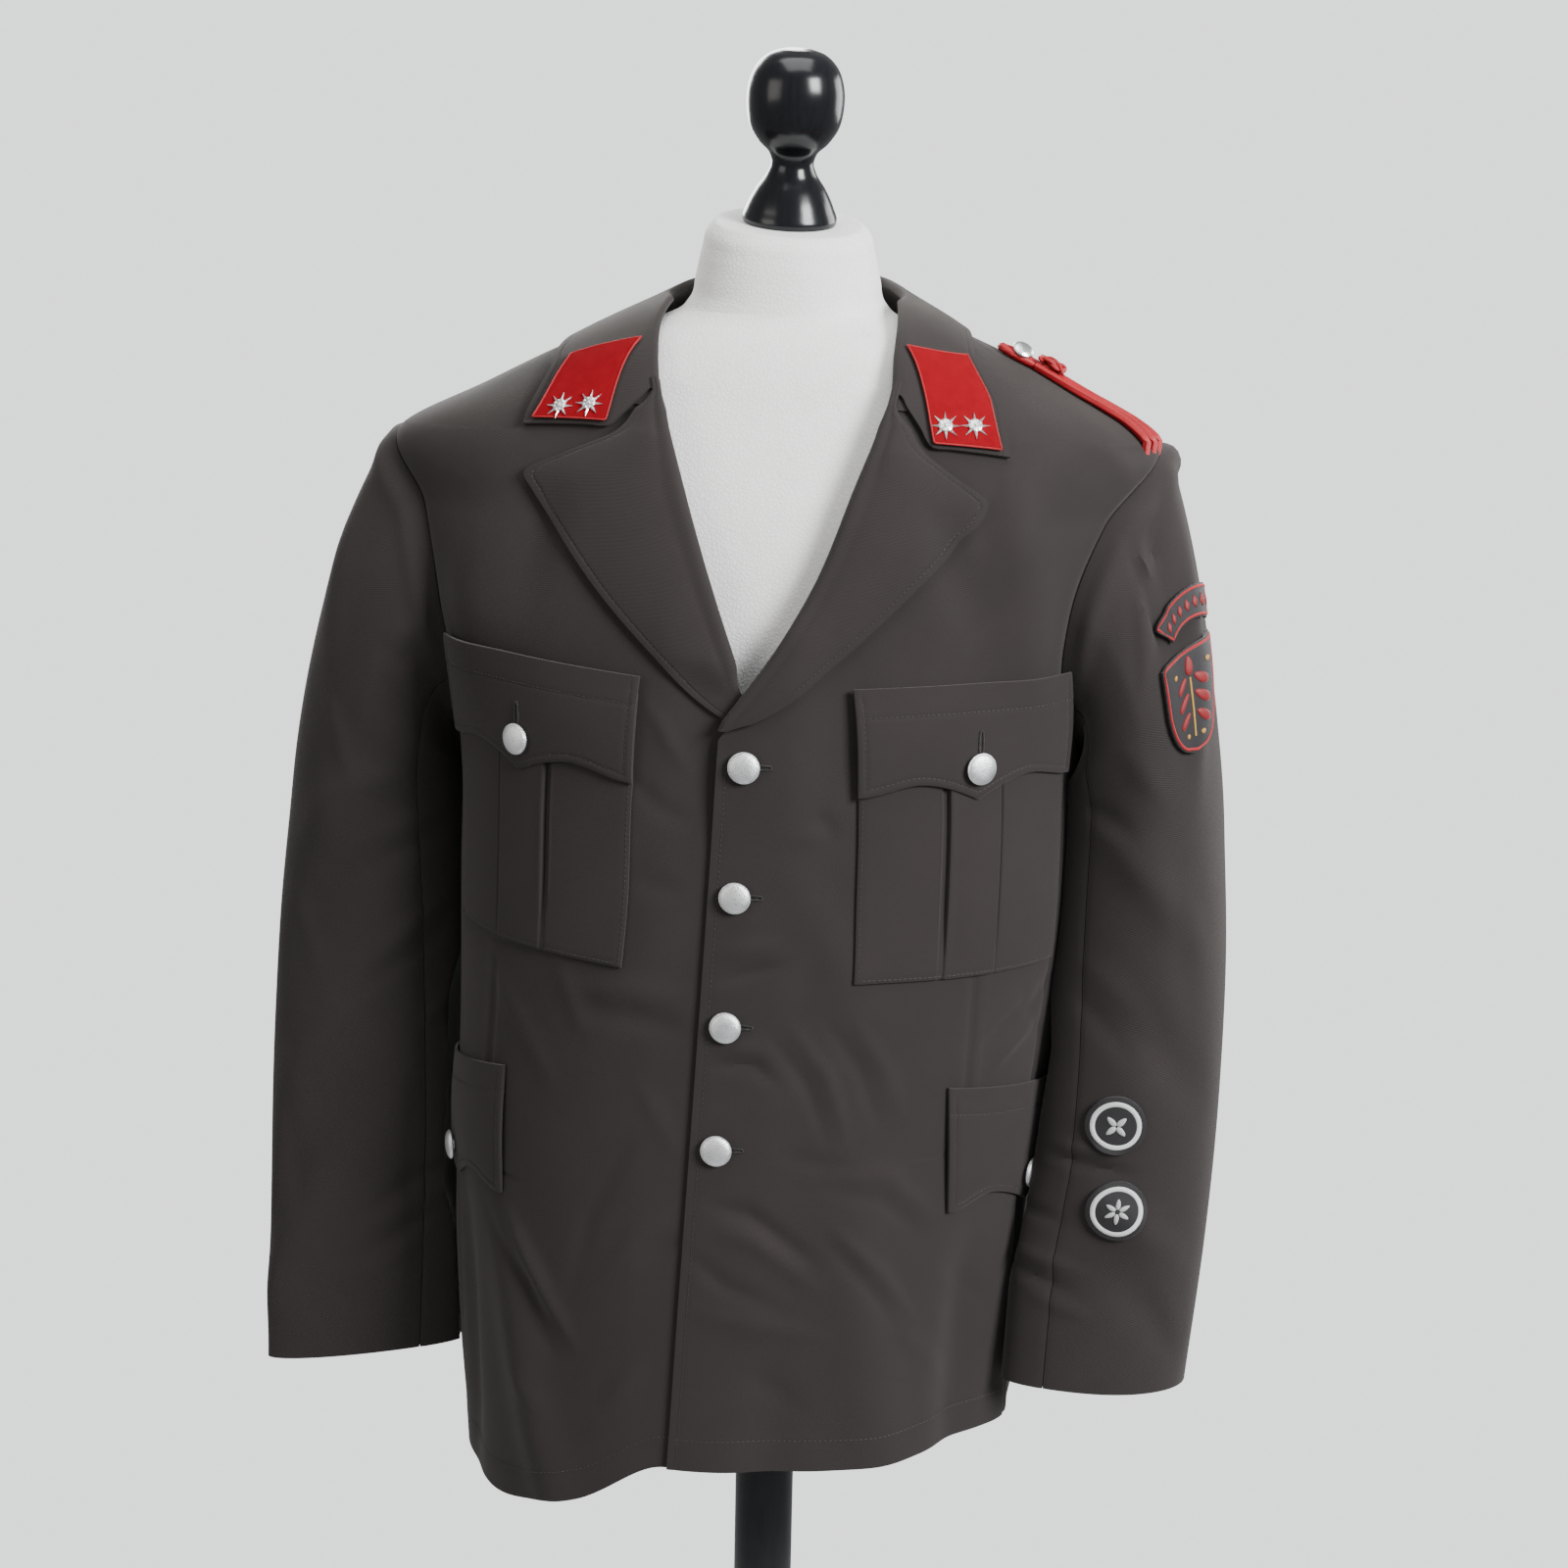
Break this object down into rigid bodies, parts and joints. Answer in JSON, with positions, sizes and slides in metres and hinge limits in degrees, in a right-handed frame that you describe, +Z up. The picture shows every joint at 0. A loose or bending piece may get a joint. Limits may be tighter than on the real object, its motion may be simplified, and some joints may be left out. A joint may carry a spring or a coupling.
{
  "type": "dress uniform jacket on a dress form with a pole stand",
  "caption": "Dark wool dress uniform jacket with notched lapels, flap pockets, red collar patches and a braided shoulder cord, buttoned on a foam torso form that stands on a round base.",
  "frame": {"origin": "middle of the flat underside of the stand's round base", "axes": "+Z up along the stand's pole, +X towards the wearer's left side, -Y towards the jacket's front"},
  "size_m": [0.7054, 0.4, 1.6076],
  "materials": {
    "cloth": "dark brown-grey wool twill, brushed",
    "felt": "red felt",
    "silver": "satin silver, pebbled",
    "cord": "braided red silk cord",
    "badge": "embroidered cloth",
    "foam": "white expanded foam",
    "black_wood": "black lacquered wood, satin"
  },
  "bodies": {
    "root": {"back_left": "cloth", "back_right": "cloth", "badge_arc": "badge", "badge_round_lower": "badge", "badge_round_upper": "badge", "badge_shield": "badge", "base": "black_wood", "button_chest_left": "silver", "button_chest_right": "silver", "button_front_1": "silver", "button_front_2": "silver", "button_front_3": "silver", "button_front_4": "silver", "button_lower_left": "silver", "button_lower_right": "silver", "button_shoulder": "silver", "chest_flap_left": "cloth", "chest_flap_right": "cloth", "chest_pocket_left": "cloth", "chest_pocket_right": "cloth", "collar": "cloth", "collar_patch_left": "felt", "collar_patch_right": "felt", "dress_form": "foam", "finial": "black_wood", "front_left": "cloth", "front_right": "cloth", "lapel_left": "cloth", "lapel_right": "cloth", "lower_flap_left": "cloth", "lower_flap_right": "cloth", "pole": "black_wood", "shoulder_cord": "cord", "side_left": "cloth", "side_right": "cloth", "sleeve_left_under": "cloth", "sleeve_left_upper": "cloth", "sleeve_right_under": "cloth", "sleeve_right_upper": "cloth", "star_left_inner": "silver", "star_left_outer": "silver", "star_right_inner": "silver", "star_right_outer": "silver"}
  },
  "joints": []
}
